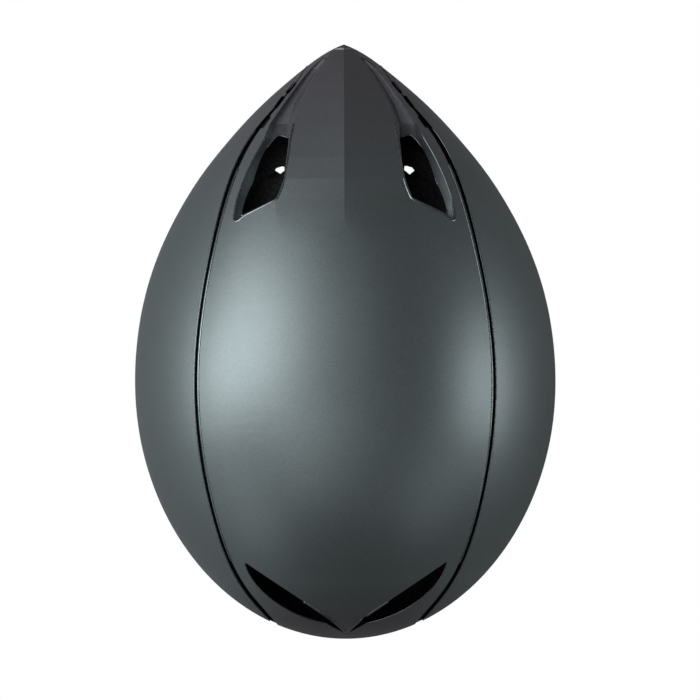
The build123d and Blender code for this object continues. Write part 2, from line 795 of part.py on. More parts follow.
def keeper():
    """Rubber loop round the short strap and its folded tail."""
    neck = divider_centre - Vector(0, 0, divider_height / 2 - strap_bite)
    lift = outward_of((jaw_corner - neck).normalized()) * (web_thickness + gap / 2) / 2
    middle = between(neck, jaw_corner, keeper_share) + lift
    along = (jaw_corner - neck).normalized()
    half = along * (keeper_height / 2)
    hole = [middle - half * 2, middle + half * 2]
    body = [middle - half, middle + half]
    wide = web_width + 2 * gap
    thick = 2 * web_thickness + 4 * gap
    return ribbon(body, wide + 2 * keeper_wall, thick + 2 * keeper_wall) - ribbon(hole, wide, thick)


def rack(side):
    """Toothed tail of a side band: side +1 runs above the pinion, -1 below it."""
    pitch = math.pi * tooth_module
    slope = math.tan(math.radians(pressure_degrees))
    half = pitch / 4 - tooth_play / 2
    tip = half - rack_tip * slope
    root = half + rack_root * slope
    points = []
    count = round(rack_inner_reach / pitch)
    for index in range(-count, count):
        x = (index + 0.5) * pitch
        points += [(x - root, rack_root), (x - tip, -rack_tip), (x + tip, -rack_tip), (x + root, rack_root)]
    far = rack_outer_reach
    near = points[-1][0]
    back = rack_root + rack_body
    points = [(-far, rack_root)] + points + [(near, back), (-far, back)]
    outline = [Vector(side * -x, 0, side * (pitch_radius + z)) for x, z in points]
    face = Face(Wire.make_polygon([Vector(p.X, rack_front(), p.Z) for p in outline], close=True))
    return Solid.extrude(face, Vector(0, rack_depth, 0))


def rack_front():
    """Front face of the racks, inside the housing."""
    return cradle_back + cradle_wall + gap


def pinion():
    """Involute pinion with its hub, on the dial's axis."""
    base = pitch_radius * math.cos(math.radians(pressure_degrees))
    tip = pitch_radius + pinion_tip
    root = pitch_radius - pinion_root
    pressure = math.radians(pressure_degrees)
    half = (math.pi / 2 - tooth_play / tooth_module / 2) / pinion_teeth + math.tan(pressure) - pressure
    profile = [(root, half)]
    for step in range(flank_steps + 1):
        radius = base + (tip - base) * step / flank_steps
        angle = math.acos(min(1, base / radius))
        profile.append((radius, half - (math.tan(angle) - angle)))
    points = []
    for tooth in range(pinion_teeth):
        middle = 2 * math.pi * tooth / pinion_teeth + math.pi / 2
        points += [(radius, middle - turn) for radius, turn in profile]
        points += [(radius, middle + turn) for radius, turn in reversed(profile)]
    y = rack_front()
    corners = [Vector(radius * math.cos(turn), y, radius * math.sin(turn)) for radius, turn in points]
    gear = Solid.extrude(Face(Wire.make_polygon(corners, close=True)), Vector(0, rack_depth, 0))
    hub = housing_back() + cover_thickness + gap - y
    turn = Rotation(90, 0, 0)
    gear += Pos(0, y + hub / 2, 0) * turn * Cylinder(hub_radius - running_gap, hub)
    return gear - Pos(0, y + hub / 2, 0) * turn * Cylinder(dial_screw_radius + running_gap, 2 * hub)


def housing_back():
    """Rear face of the rack housing, where the cover sits."""
    return rack_front() + rack_depth + 2 * gap


def along_y(radius, start, end, x=0, z=0):
    """Round bar along Y."""
    return Pos(x, (start + end) / 2, z) * Rotation(90, 0, 0) * Cylinder(radius, end - start)


def cradle_plate(start, thickness, width, height, corner):
    """Curved plate behind the head, cut to a rounded outline seen from behind."""
    centre = cradle_back - cradle_radius
    ring = Cylinder(cradle_radius + start + thickness, height) - Cylinder(cradle_radius + start, 2 * height)
    outline = extrude(Plane.XZ * RectangleRounded(width, height - gap, corner), -2 * cradle_radius)
    return (Pos(0, centre, 0) * ring) & outline


def cradle_parts():
    """Nape cradle with its rack housing, cover, screws and click spring."""
    plate = cradle_plate(0, cradle_wall, 2 * cradle_half_width, cradle_height, cradle_corner)
    for side in (-1, 1):
        slot = Plane.XZ * Pos(side * window_place, 0) * SlotOverall(window_height, window_width, 90)
        window = extrude(slot, -2 * cradle_radius)
        plate -= window
    rise = pitch_radius + rack_root + rack_body + gap
    back = housing_back()
    front = cradle_back
    tall = 2 * (rise + housing_wall)
    box = Pos(0, (front + back) / 2, 0) * Box(2 * housing_half_width, back - front, tall)
    box = fillet(box.edges().filter_by(Axis.Y), housing_wall)
    cradle = plate + box
    channel = back - rack_front() + gap
    cradle -= Pos(0, back - channel / 2 + gap, 0) * Box(4 * housing_half_width, channel + 2 * gap, 2 * rise)
    cover = Pos(0, back + cover_thickness / 2 + gap, 0) * Box(2 * housing_half_width, cover_thickness, tall)
    cover = fillet(cover.edges().filter_by(Axis.Y), housing_wall)
    cover -= along_y(hub_radius, back, back + 2 * cover_thickness)
    screws = []
    for x in (-cover_screw_place, cover_screw_place):
        cradle += along_y(2 * cover_screw_radius, front, back, x)
        hole = along_y(cover_screw_radius + running_gap, front + cradle_wall, back + 2 * cover_thickness, x)
        cradle -= hole
        cover -= hole
        top = back + gap + cover_thickness
        screws.append(along_y(cover_screw_radius, front + cradle_wall + gap, top + gap, x)
                      + along_y(cover_screw_head, top + gap / 2, top + gap / 2 + cover_screw_radius, x))
    click_front = back + gap + cover_thickness + gap
    ring = along_y(click_radius + click_wall, click_front, click_front + click_depth)
    ring -= along_y(click_radius, click_front - gap, click_front + click_depth + gap)
    for side in (-1, 1):
        nub_x = side * (click_radius + click_wall)
        ring += along_y(click_nub_radius, click_front, click_front + click_depth, nub_x)
    return cradle, cover, screws, ring


def dial_parts():
    """Knob with a ratchet ring inside, and the screw that holds it to the pinion."""
    start = housing_back() + gap + cover_thickness + gap
    end = start + knob_depth
    knob = along_y(knob_radius, start, end)
    knob = fillet(knob.edges().filter_by(GeomType.CIRCLE).sort_by(Axis.Y)[-1], knob_wall / 2)
    inside = click_radius + 2 * click_wall + gap
    knob -= along_y(inside, start - gap, start + click_depth + gap)
    knob += along_y(hub_radius + knob_wall, start + gap, start + click_depth + 2 * gap)
    for index in range(knob_grooves):
        turn = 2 * math.pi * index / knob_grooves
        x = (knob_radius + knob_wall / 2) * math.cos(turn)
        z = (knob_radius + knob_wall / 2) * math.sin(turn)
        knob -= along_y(knob_wall, start - gap, end + gap, x, z)
    knob -= along_y(dial_screw_radius + running_gap, start - gap, end + gap)
    sink = end - dial_screw_head
    knob -= along_y(dial_screw_head + gap, sink, end + gap)
    screw = along_y(dial_screw_radius, rack_front() + gap, sink + gap)
    screw += along_y(dial_screw_head, sink + gap, end)
    return knob, screw


def band_route():
    """Middle line of the left side band, from the temple eye to the housing."""
    x = temple_face()
    outer = cradle_radius + cradle_wall + 2 * gap + band_thickness / 2
    centre = cradle_back - cradle_radius
    end_x = housing_half_width + 2 * band_thickness
    far_x = cradle_half_width + gap
    end = Vector(end_x, centre + math.sqrt(outer ** 2 - end_x ** 2), 0)
    wing = Vector(far_x, centre + math.sqrt(outer ** 2 - far_x ** 2), wing_rise)
    points = [Vector(x, temple_y + temple_pin_radius + band_thickness, temple_z)]
    for share in band_shares:
        y = temple_y + (wing.Y - temple_y) * share
        inset = band_inset + 2 * band_thickness * share
        points.append(Vector(cavity_half(y) - inset, y, temple_z + (wing.Z - temple_z) * share))
    bend_x = (far_x + end_x) / 2
    bend = Vector(bend_x, centre + math.sqrt(outer ** 2 - bend_x ** 2), wing.Z / 2)
    return points + [wing, bend, end]


def band():
    """Left side band with its eye."""
    strap = ribbon(band_route(), band_height, band_thickness, Vector(0, 0, 1))
    face = temple_face()
    eye = temple_bar(eye_radius, face - band_thickness / 2, face + band_thickness / 2)
    hole = temple_bar(temple_pin_radius + running_gap, face - band_thickness, face + band_thickness)
    return eye + strap - hole


def temple_bar(radius, start, end):
    """Round bar along the left temple pin's axis."""
    return Pos((start + end) / 2, temple_y, temple_z) * Rotation(0, 90, 0) * Cylinder(radius, end - start)


def temple_parts():
    """Left temple pin with its head, and the socket that it turns in."""
    face = temple_face()
    head_start = face - band_thickness / 2 - gap / 2 - temple_pin_head_depth
    end = face + band_thickness / 2 + gap + socket_depth
    pin = temple_bar(temple_pin_radius, head_start, end)
    pin += temple_bar(temple_pin_head, head_start, head_start + temple_pin_head_depth)
    socket_start = face + band_thickness / 2 + 2 * gap
    socket = temple_bar(socket_radius, socket_start, socket_start + socket_depth)
    socket -= temple_bar(temple_pin_radius + running_gap, socket_start - gap, end + gap)
    return pin, socket


def pad_strip(radius, centre_y, start, sweep, z, height, thickness):
    """Cushion bent round an upright axis, crowned and drawn in to its ends."""
    sections = []
    for index in range(pad_steps + 1):
        share = index / pad_steps
        turn = math.radians(start + sweep * share)
        swell = pad_end_share + (1 - pad_end_share) * math.sin(math.pi * share) ** 0.5
        thick = thickness * swell
        tall = height * swell
        radial = Vector(math.cos(turn), math.sin(turn), 0)
        origin = Vector(0, centre_y, z) + radial * (radius - thick / 2)
        along = Vector(-radial.Y, radial.X, 0)
        plane = Plane(origin=origin, x_dir=radial, z_dir=along)
        corner = thick * pad_corner_share
        half_thick = thick / 2
        half_tall = tall / 2
        points = [(-half_thick, 0), (-half_thick + corner / 3, half_tall - corner), (0, half_tall),
                  (half_thick - corner / 4, half_tall - corner), (half_thick, 0),
                  (half_thick - corner / 4, corner - half_tall), (0, -half_tall),
                  (-half_thick + corner / 3, corner - half_tall)]
        places = [plane.from_local_coords(Vector(a, b, 0)) for a, b in points]
        sections.append(Wire.make_polygon(places, close=True))
    return Solid.make_loft(sections, ruled=True)


def brow_radius():
    """Radius of the arc that follows the front of the head opening."""
    x = cavity_half_width * brow_chord_share
    y = cavity_front * (1 - brow_chord_share ** 2) ** 0.5
    drop = cavity_front - y
    return (x ** 2 + drop ** 2) / (2 * drop)


def make_pads():
    """Brow pad, the pads under the crown and the two cradle pads."""
    radius = brow_radius() - gap
    centre = -cavity_front + brow_radius()
    start = brow_degrees - brow_pad_degrees / 2
    z = brow_rim_height + brow_pad_lift + pad_height / 2 - trim_thickness
    brow = pad_strip(radius - brow_pad_gap, centre, start, brow_pad_degrees, z, pad_height, pad_thickness)
    nodes = {"brow_pad": brow}
    lining = cavity(-gap) - cavity(-gap - pad_thickness)
    for name, x, width, length in (("crown_pad", crown_pad_x, crown_pad_width, crown_pad_length),
                                   ("side_pad", side_pad_x, side_pad_width, side_pad_length)):
        outline = Pos(x, side_pad_y) * RectangleRounded(width, length, width * pad_corner_share)
        pad = lining & plan_prism(outline.face(), cavity_shoulder + band_height, crown_height)
        nodes[name + "_left"] = pad
        nodes[name + "_right"] = mirror(pad, about=Plane.YZ)
    pad_radius = cradle_radius - gap
    sweep = math.degrees(cradle_pad_width / pad_radius)
    middle = nape_degrees - math.degrees(math.asin(window_place / pad_radius))
    left = pad_strip(pad_radius, cradle_back - cradle_radius, middle - sweep / 2, sweep, 0,
                      cradle_pad_height, cradle_pad_thickness)
    nodes["cradle_pad_left"] = left
    nodes["cradle_pad_right"] = mirror(left, about=Plane.YZ)
    return nodes


def make_parts():
    """All the helmet's pieces by name."""
    nodes = make_shells()
    nodes.update(make_straps())
    nodes["front_strap_anchors"] = both_sides(anchor(front_route()))
    nodes["rear_strap_anchors"] = both_sides(anchor(rear_route()))
    plate, lever, pin = divider_parts()
    for name, shape in (("strap_divider", plate), ("divider_lever", lever), ("lever_pin", pin)):
        nodes[name + "_left"] = shape
        nodes[name + "_right"] = mirror(shape, about=Plane.YZ)
    socket, plug, prongs = buckle_parts()
    nodes["buckle_socket"] = on_buckle(socket, 0)
    nodes["buckle_plug"] = on_buckle(plug, 0)
    nodes["buckle_prongs"] = [on_buckle(prong, 0) for prong in prongs]
    nodes["strap_keeper"] = keeper()
    cradle, cover, screws, click = cradle_parts()
    nodes["cradle"] = cradle
    nodes["cradle_cover"] = cover
    nodes["cover_screws"] = screws
    nodes["click_spring"] = click
    knob, screw = dial_parts()
    nodes["dial_knob"] = knob
    nodes["dial_screw"] = screw
    nodes["dial_pinion"] = pinion()
    nodes["rack_left"] = rack(1)
    nodes["rack_right"] = rack(-1)
    left = band()
    nodes["band_left"] = left
    nodes["band_right"] = mirror(left, about=Plane.YZ)
    temple_pin, temple_socket = temple_parts()
    nodes["temple_pins"] = both_sides(temple_pin)
    nodes["temple_sockets"] = both_sides(temple_socket)
    nodes.update(make_pads())
    return nodes


for name, shape in make_parts().items():
    pieces = shape if isinstance(shape, list) else [shape]
    solids = [solid for piece in pieces for solid in piece.solids()]
    whole = solids[0] if len(solids) == 1 else Compound(children=solids)
    export_step(whole, f"parts/{name}.step")
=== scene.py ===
import json
import math
import bmesh
import bpy
import numpy as np
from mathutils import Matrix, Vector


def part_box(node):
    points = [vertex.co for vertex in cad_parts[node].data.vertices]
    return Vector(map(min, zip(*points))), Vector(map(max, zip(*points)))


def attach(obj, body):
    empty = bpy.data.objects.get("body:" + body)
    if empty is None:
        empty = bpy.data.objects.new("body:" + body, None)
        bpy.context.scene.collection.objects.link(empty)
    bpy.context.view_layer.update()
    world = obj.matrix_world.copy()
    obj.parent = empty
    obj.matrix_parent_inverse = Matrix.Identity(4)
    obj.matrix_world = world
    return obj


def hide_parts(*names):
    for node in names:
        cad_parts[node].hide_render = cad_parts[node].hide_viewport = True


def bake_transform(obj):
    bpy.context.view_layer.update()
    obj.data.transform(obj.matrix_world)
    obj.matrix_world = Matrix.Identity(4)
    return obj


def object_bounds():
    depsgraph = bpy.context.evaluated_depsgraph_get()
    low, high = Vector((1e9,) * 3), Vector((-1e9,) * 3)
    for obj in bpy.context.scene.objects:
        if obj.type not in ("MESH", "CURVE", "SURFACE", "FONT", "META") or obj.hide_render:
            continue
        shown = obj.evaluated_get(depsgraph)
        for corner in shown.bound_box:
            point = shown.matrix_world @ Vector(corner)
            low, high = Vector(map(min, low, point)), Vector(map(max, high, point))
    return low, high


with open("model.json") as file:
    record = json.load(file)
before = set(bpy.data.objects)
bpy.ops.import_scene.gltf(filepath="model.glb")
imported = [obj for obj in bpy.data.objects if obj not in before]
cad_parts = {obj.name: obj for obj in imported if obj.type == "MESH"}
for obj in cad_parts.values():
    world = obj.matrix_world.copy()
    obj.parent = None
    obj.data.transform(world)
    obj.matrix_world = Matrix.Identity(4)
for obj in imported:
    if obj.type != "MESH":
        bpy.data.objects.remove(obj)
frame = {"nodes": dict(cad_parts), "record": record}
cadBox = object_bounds()
print("frame loaded:", len(frame["nodes"]), "nodes")

mm = 0.001


# materials

def join(tree, value, socket):
    if isinstance(value, Wire):
        tree.links.new(value.out, socket)
    else:
        socket.default_value = value


class Wire:  # one output socket, so that shader maths reads as Python
    def __init__(self, tree, out):
        self.tree = tree
        self.out = out

    def maths(self, operation, first, second=0):
        node = self.tree.nodes.new("ShaderNodeMath")
        node.operation = operation
        join(self.tree, first, node.inputs[0])
        join(self.tree, second, node.inputs[1])
        return Wire(self.tree, node.outputs[0])

    def __add__(self, other):
        return self.maths("ADD", self, other)

    def __radd__(self, other):
        return self.maths("ADD", other, self)

    def __sub__(self, other):
        return self.maths("SUBTRACT", self, other)

    def __rsub__(self, other):
        return self.maths("SUBTRACT", other, self)

    def __mul__(self, other):
        return self.maths("MULTIPLY", self, other)

    def __rmul__(self, other):
        return self.maths("MULTIPLY", other, self)

    def __truediv__(self, other):
        return self.maths("DIVIDE", self, other)

    def __rtruediv__(self, other):
        return self.maths("DIVIDE", other, self)


class Nodes:  # a node tree and the one method that adds to it
    def __init__(self, tree):
        self.tree = tree

    def node(self, kind, settings=None, inputs=None, out=0):
        made = self.tree.nodes.new("ShaderNode" + kind)
        for key, value in (settings or {}).items():
            if key == "stops":
                ramp = made.color_ramp
                while len(ramp.elements) < len(value):
                    ramp.elements.new(0.5)
                for element, (place, colour) in zip(ramp.elements, value):
                    element.position = place
                    element.color = colour
            else:
                setattr(made, key, value)
        for key, value in (inputs or {}).items():
            join(self.tree, value, made.inputs[key])
        return Wire(self.tree, made.outputs[out])


class Finish(Nodes):  # a material while it is being put together
    def __init__(self, name, constants):
        self.material = bpy.data.materials.new(name)
        self.material.use_nodes = True
        super().__init__(self.material.node_tree)
        self.shader = self.tree.nodes["Principled BSDF"]
        for socket, value in constants.items():
            self.shader.inputs[socket].default_value = value

    def place(self, turn=(0, 0, 0), stretch=(1, 1, 1)):
        point = self.node("TexCoord", out="Object")
        return self.node("Mapping", {}, {"Vector": point, "Rotation": turn, "Scale": stretch})

    def noise(self, place, size, detail=2.0):
        return self.node("TexNoise", {}, {"Vector": place, "Scale": 1 / size, "Detail": detail})

    def cells(self, place, size, feature="F1", out="Distance"):
        return self.node("TexVoronoi", {"feature": feature}, {"Vector": place, "Scale": 1 / size}, out=out)

    def ramp(self, factor, low, high):
        return self.node("MapRange", {}, {"Value": factor, "From Min": low, "From Max": high})

    def blend(self, factor, first, second):
        first, second = (side if isinstance(side, Wire) else side + (1,) for side in (first, second))
        return self.node("Mix", {"data_type": "RGBA"}, {0: factor, 6: first, 7: second}, out=2)

    def bump(self, height, depth, strength=1.0):
        return self.node("Bump", {}, {"Height": height, "Distance": depth, "Strength": strength})

    def feed(self, **links):
        names = {"colour": "Base Color", "roughness": "Roughness", "metallic": "Metallic", "normal": "Normal",
                 "coat": "Coat Weight"}
        for key, value in links.items():
            join(self.tree, value, self.shader.inputs[names[key]])
        return self.material


paintLook = {"dark": (0.215, 0.258, 0.267), "light": (0.285, 0.342, 0.353),
             "tailDark": (0.25, 0.249, 0.275), "tailLight": (0.325, 0.322, 0.355), "tailShift": (80 * mm, 150 * mm),
             # painted shade: the brow's tints are darker copies of the paint, for the front of the shell where less
             # light falls
             "browShadeDark": (0.145, 0.144, 0.16), "browShadeLight": (0.19, 0.188, 0.208), "browShadeShift": (98 * mm, 118 * mm),
             "flake": 0.4 * mm, "cloud": 60 * mm, "orangePeel": 2.2 * mm, "peelDepth": 0.012 * mm,
             "swirl": 1.6 * mm, "patch": 25 * mm, "scuff": (0.62, 0.72),
             "roughness": 0.48, "metallic": 0.9, "coat": 0.1, "coatRoughness": 0.3}
foamLook = {"dark": (0.010, 0.010, 0.011), "light": (0.027, 0.027, 0.03), "bead": 3.2 * mm, "crack": 0.12,
            "grain": 0.6 * mm, "depth": 0.18 * mm, "roughness": 0.72}
plasticLook = {"wear": 9 * mm, "grain": 0.5 * mm, "depth": 0.03 * mm}
metalLook = {"dark": (0.34, 0.34, 0.35), "light": (0.56, 0.56, 0.57), "scratch": 0.8 * mm, "depth": 0.01 * mm}
webLook = {"dark": (0.008, 0.008, 0.009), "light": (0.028, 0.028, 0.031), "threads": 15.0, "pick": 1.1 * mm,
           "fuzz": 0.7 * mm, "depth": 0.16 * mm}
padLook = {"dark": (0.030, 0.031, 0.034), "light": (0.085, 0.087, 0.094), "loop": 0.9 * mm, "nap": 4 * mm,
           "depth": 0.14 * mm}


def paintFinish(name, look):
    # lacquer over fine metal flake: two tints mixed by flake cells, greyer at the tail and darkened at the brow as
    # painted shade, a slow cloud, orange-peel bump and faint wiping scuffs
    f = Finish(name, {"Coat Roughness": look["coatRoughness"], "Coat IOR": 1.5})
    here = f.place()
    flake = f.cells(here, look["flake"], out="Color")
    flake = f.node("SeparateColor", {}, {"Color": flake})
    cloud = f.noise(here, look["cloud"])
    mask = flake * 0.75 + cloud * 0.25
    colour = f.blend(mask, look["dark"], look["light"])
    station = f.node("SeparateXYZ", {}, {0: here}, out=1)
    tail, shadeTowardsBrow = f.ramp(station, *look["tailShift"]), f.ramp(station * -1, *look["browShadeShift"])
    colour = f.blend(tail, colour, f.blend(mask, look["tailDark"], look["tailLight"]))
    # painted shade: the tints turn darker towards the brow
    colour = f.blend(shadeTowardsBrow, colour, f.blend(mask, look["browShadeDark"], look["browShadeLight"]))
    peel = f.noise(here, look["orangePeel"], 1.0)
    swirl = f.noise(f.place(turn=(0.4, 0.2, 0.7), stretch=(1, 14, 3)), look["swirl"])
    scuff = f.ramp(swirl * 0.6 + f.noise(here, look["patch"], 3.0) * 0.4, *look["scuff"])
    rough = look["roughness"] + (peel - 0.5) * 0.05 + (flake - 0.5) * 0.06 + scuff * 0.07
    return f.feed(colour=colour, roughness=rough, metallic=look["metallic"] + (flake - 0.5) * 0.1,
                  coat=look["coat"] + (cloud - 0.5) * 0.06, normal=f.bump(peel, look["peelDepth"], 0.5))


def foamFinish():
    # moulded polystyrene: rounded bead cells with fine dark lines between them
    f = Finish("beadFoam", {"Specular IOR Level": 0.3})
    here = f.place()
    bead = f.cells(here, foamLook["bead"])
    edge = f.cells(here, foamLook["bead"], "DISTANCE_TO_EDGE")
    line = f.ramp(edge, 0.0, foamLook["crack"])
    tint = f.blend(line, foamLook["dark"], foamLook["light"])
    grain = f.noise(here, foamLook["grain"])
    height = line * 0.7 - bead * 0.5 + grain * 0.15
    return f.feed(colour=tint, roughness=foamLook["roughness"] - line * 0.12,
                  normal=f.bump(height, foamLook["depth"], 0.6))


def mouldedFinish(name, dark, light, rough, grainSize=plasticLook["grain"], depth=plasticLook["depth"]):
    # moulded plastic or rubber: spark-eroded grain and slow handling wear
    f = Finish(name, {})
    here = f.place()
    grain = f.cells(here, grainSize)
    wear = f.noise(here, plasticLook["wear"], 3.0)
    tint = f.blend(wear * 0.7 + grain * 0.3, dark, light)
    return f.feed(colour=tint, roughness=rough + (wear - 0.5) * 0.14, normal=f.bump(grain, depth, 0.6))


def metalFinish():
    # plated steel with scratches that run one way
    f = Finish("platedSteel", {})
    here = f.place(stretch=(1, 8, 1))
    scratch = f.noise(here, metalLook["scratch"], 3.0)
    tint = f.blend(scratch, metalLook["dark"], metalLook["light"])
    return f.feed(colour=tint, roughness=0.24 + scratch * 0.16, metallic=0.96 + scratch * 0.04,
                  normal=f.bump(scratch, metalLook["depth"], 0.4))


def webFinish():
    # webbing on its own map: u runs across the strap, v along it in metres; twill chevrons and selvedges
    f = Finish("wovenWebbing", {"Sheen Weight": 0.25, "Sheen Roughness": 0.5, "Specular IOR Level": 0.25})
    uv = f.node("UVMap", {"uv_map": "run"})
    across = f.node("SeparateXYZ", {}, {0: uv})
    along = f.node("SeparateXYZ", {}, {0: uv}, out=1)
    side = across.maths("PINGPONG", across, 0.25)
    phase = side * webLook["threads"] * 2 + along / webLook["pick"]
    over = phase.maths("SINE", phase * math.pi) * 0.5 + 0.5
    warp = across * webLook["threads"] * 4 * math.pi
    thread = warp.maths("SINE", warp) * 0.5 + 0.5
    weave = over * 0.65 + thread * 0.35
    fuzz = f.noise(f.place(), webLook["fuzz"], 3.0)
    tint = f.blend(weave * 0.75 + fuzz * 0.25, webLook["dark"], webLook["light"])
    return f.feed(colour=tint, roughness=0.9 - weave * 0.12,
                  normal=f.bump(weave + fuzz * 0.2, webLook["depth"], 0.8))


def padFinish():
    # brushed knit over foam: small loops in rows, with a soft nap
    f = Finish("knitPadding", {"Sheen Weight": 0.5, "Sheen Roughness": 0.45, "Specular IOR Level": 0.2})
    here = f.place(turn=(0.3, 0.2, 0.6))
    loop = f.cells(here, padLook["loop"])
    nap = f.noise(here, padLook["nap"], 3.0)
    tint = f.blend(loop * 0.6 + nap * 0.4, padLook["light"], padLook["dark"])
    return f.feed(colour=tint, roughness=0.94 - nap * 0.08, normal=f.bump(1 - loop, padLook["depth"], 0.8))


finishes = {
    "shell_paint": paintFinish("crownPaint", paintLook),
    "side_paint": paintFinish("sidePaint", paintLook),
    "foam": foamFinish(),
    "trim": mouldedFinish("rimRubber", (0.012, 0.012, 0.013), (0.024, 0.024, 0.026), 0.62, 0.8 * mm),
    "padding": padFinish(),
    "webbing": webFinish(),
    "moulding": mouldedFinish("grainedNylon", (0.014, 0.014, 0.016), (0.03, 0.03, 0.033), 0.46),
    "bands": mouldedFinish("smoothNylon", (0.02, 0.02, 0.022), (0.036, 0.036, 0.04), 0.34, 0.9 * mm, 0.01 * mm),
    "dial_grip": mouldedFinish("dialRubber", (0.016, 0.016, 0.018), (0.034, 0.034, 0.037), 0.66, 0.35 * mm),
    "metal": metalFinish(),
}
nodeSlots = {part["node"]: part["material_slot"] for part in frame["record"]["subparts"]}


def paint(piece, material):
    piece.data.materials.clear()
    piece.data.materials.append(material)


for name, node in frame["nodes"].items():
    paint(node, finishes[nodeSlots[name]])
print("materials made:", len(finishes))


# mesh helpers

def newObject(name, data):
    made = bpy.data.objects.new(name, data)
    bpy.context.scene.collection.objects.link(made)
    return made


def gridPiece(name, points, slot, capped=True):
    # grid of points (rows along the piece, columns round it) as one closed skin; its map is named run
    rows, columns = points.shape[:2]
    index = np.arange(rows * columns).reshape(rows, columns)
    onwards = np.roll(index, -1, axis=1)
    quads = np.stack([index[:-1], onwards[:-1], onwards[1:], index[1:]], axis=-1)
    faces = quads.reshape(-1, 4).tolist()
    if capped:
        faces.append(index[0][::-1].tolist())
        faces.append(index[-1].tolist())
    mesh = bpy.data.meshes.new(name)
    mesh.from_pydata(points.reshape(-1, 3).tolist(), [], faces)
    layer = mesh.uv_layers.new(name="run")
    loops = np.empty(len(mesh.loops), np.int32)
    mesh.loops.foreach_get("vertex_index", loops)
    step = np.linalg.norm(np.diff(points.mean(axis=1), axis=0), axis=1)
    run = np.concatenate([[0], np.cumsum(step)])
    u = (loops % columns) / columns
    v = run[loops // columns]
    layer.data.foreach_set("uv", np.stack([u, v], axis=-1).astype(np.float32).ravel())
    mesh.materials.append(finishes[slot])
    mesh.shade_smooth()
    piece = newObject(name, mesh)
    return piece


def joined(pieces):
    # meshes of several pieces as one, all faces turned outwards
    shape = bmesh.new()
    for piece in pieces:
        shape.from_mesh(piece.data)
    bmesh.ops.recalc_face_normals(shape, faces=shape.faces)
    shape.to_mesh(pieces[0].data)
    shape.free()
    for piece in pieces[1:]:
        bpy.data.objects.remove(piece)
    return pieces[0]


def coordsOf(mesh):
    flat = np.empty(len(mesh.vertices) * 3)
    mesh.vertices.foreach_get("co", flat)
    return flat.reshape(-1, 3)


curve = {"part": 2.2, "points": 9}


def easedPath(points, radius, step):
    # polyline whose corners become parabolas (1 - t)^2 a + 2 t (1 - t) c + t^2 b, sampled about every step
    points = np.asarray(points, float)
    path = [points[0]]
    t = np.linspace(0, 1, curve["points"])[:, None]
    for before, corner, after in zip(points[:-2], points[1:-1], points[2:]):
        near, far = np.linalg.norm(before - corner), np.linalg.norm(after - corner)
        reach = min(radius, near / curve["part"], far / curve["part"])
        a = corner + (before - corner) / near * reach
        b = corner + (after - corner) / far * reach
        path += list((1 - t) ** 2 * a + 2 * t * (1 - t) * corner + t ** 2 * b)
    path.append(points[-1])
    path = np.array(path)
    run = np.concatenate([[0], np.cumsum(np.linalg.norm(np.diff(path, axis=0), axis=1))])
    places = np.linspace(0, run[-1], max(2, int(run[-1] / step) + 1))
    return np.stack([np.interp(places, run, path[:, k]) for k in range(3)], axis=-1)


def framesAlong(path, across):
    # at each point: the direction on, the wide direction nearest to across, and the direction square to both
    ahead = np.gradient(path, axis=0)
    ahead /= np.linalg.norm(ahead, axis=1, keepdims=True)
    wide = across - ahead * (ahead @ across)[:, None]
    wide /= np.linalg.norm(wide, axis=1, keepdims=True)
    return ahead, wide, np.cross(ahead, wide)


def flatSection(width, thickness, count=28, power=5.0):
    # x = w/2 |cos|^(2/n), y = t/2 |sin|^(2/(n - 2)) with their signs: a superellipse with softened edges
    turn = np.arange(count) / count * 2 * math.pi
    c, s = np.cos(turn), np.sin(turn)
    x = width / 2 * np.sign(c) * np.abs(c) ** (2 / power)
    y = thickness / 2 * np.sign(s) * np.abs(s) ** (2 / (power - 2))
    return x, y


def swept(path, across, section):
    # p + w x + n y: a section (x, y) about each point of a path
    ahead, wide, out = framesAlong(path, np.array(across, float))
    x, y = section
    return path[:, None] + wide[:, None] * x[None, :, None] + out[:, None] * y[None, :, None]


def tube(name, path, out, radius, slot, sides=8):
    # round bar: ring r (s cos a + n sin a) about each point of a path, s square to the way ahead
    ahead = np.gradient(path, axis=0)
    ahead /= np.linalg.norm(ahead, axis=1, keepdims=True)
    side = np.cross(ahead, out)
    side /= np.linalg.norm(side, axis=1, keepdims=True)
    normal = np.cross(side, ahead)
    turn = np.arange(sides) / sides * 2 * math.pi
    ring = side[:, None] * np.cos(turn)[None, :, None] + normal[:, None] * np.sin(turn)[None, :, None]
    return gridPiece(name, path[:, None] + np.reshape(radius, (-1, 1, 1)) * ring, slot)


# crown skin: the solid's own faces, with normals that let the roof facets run out into the round of the crown

crownForm = {"width": 0.106, "front": 0.128, "tail": 0.171, "belt": 0.050, "crown": 0.168, "tailHeight": 0.084,
             "frontPower": 1.95, "rearPower": 2.19, "taper": 0.92, "fullness": 2.2, "backPower": 1.8, "beltPower": 3,
             "fadeFrom": 0.066, "fadeTo": 0.118, "halfBand": 0.042, "step": 0.0005, "likeness": 0.93,
             "deepest": 0.004}


def hullHeight(x, y):
    # z = m + (t - m) (1 - |x / w|^2.2)^(1 / 2.2): w, m and t are half width, widest line and top at station y
    c = crownForm
    front = np.clip(-y / c["front"], 0, 1)
    rear = np.clip(y / c["tail"], 0, 1)
    wide = np.where(y < 0, c["width"] * (1 - front ** c["frontPower"]) ** 0.5,
                    c["width"] * (1 - rear ** c["rearPower"]) ** c["taper"])
    middle = np.where(y < 0, c["belt"], c["belt"] + (c["tailHeight"] - c["belt"]) * rear ** c["beltPower"])
    top = np.where(y < 0, c["belt"] + (c["crown"] - c["belt"]) * (1 - front ** 2) ** 0.5,
                   c["tailHeight"] + (c["crown"] - c["tailHeight"]) * (1 - rear ** c["backPower"]))
    share = np.clip(np.abs(x) / np.maximum(wide, 1e-6), 0, 1)
    return middle + (top - middle) * (1 - share ** c["fullness"]) ** (1 / c["fullness"])


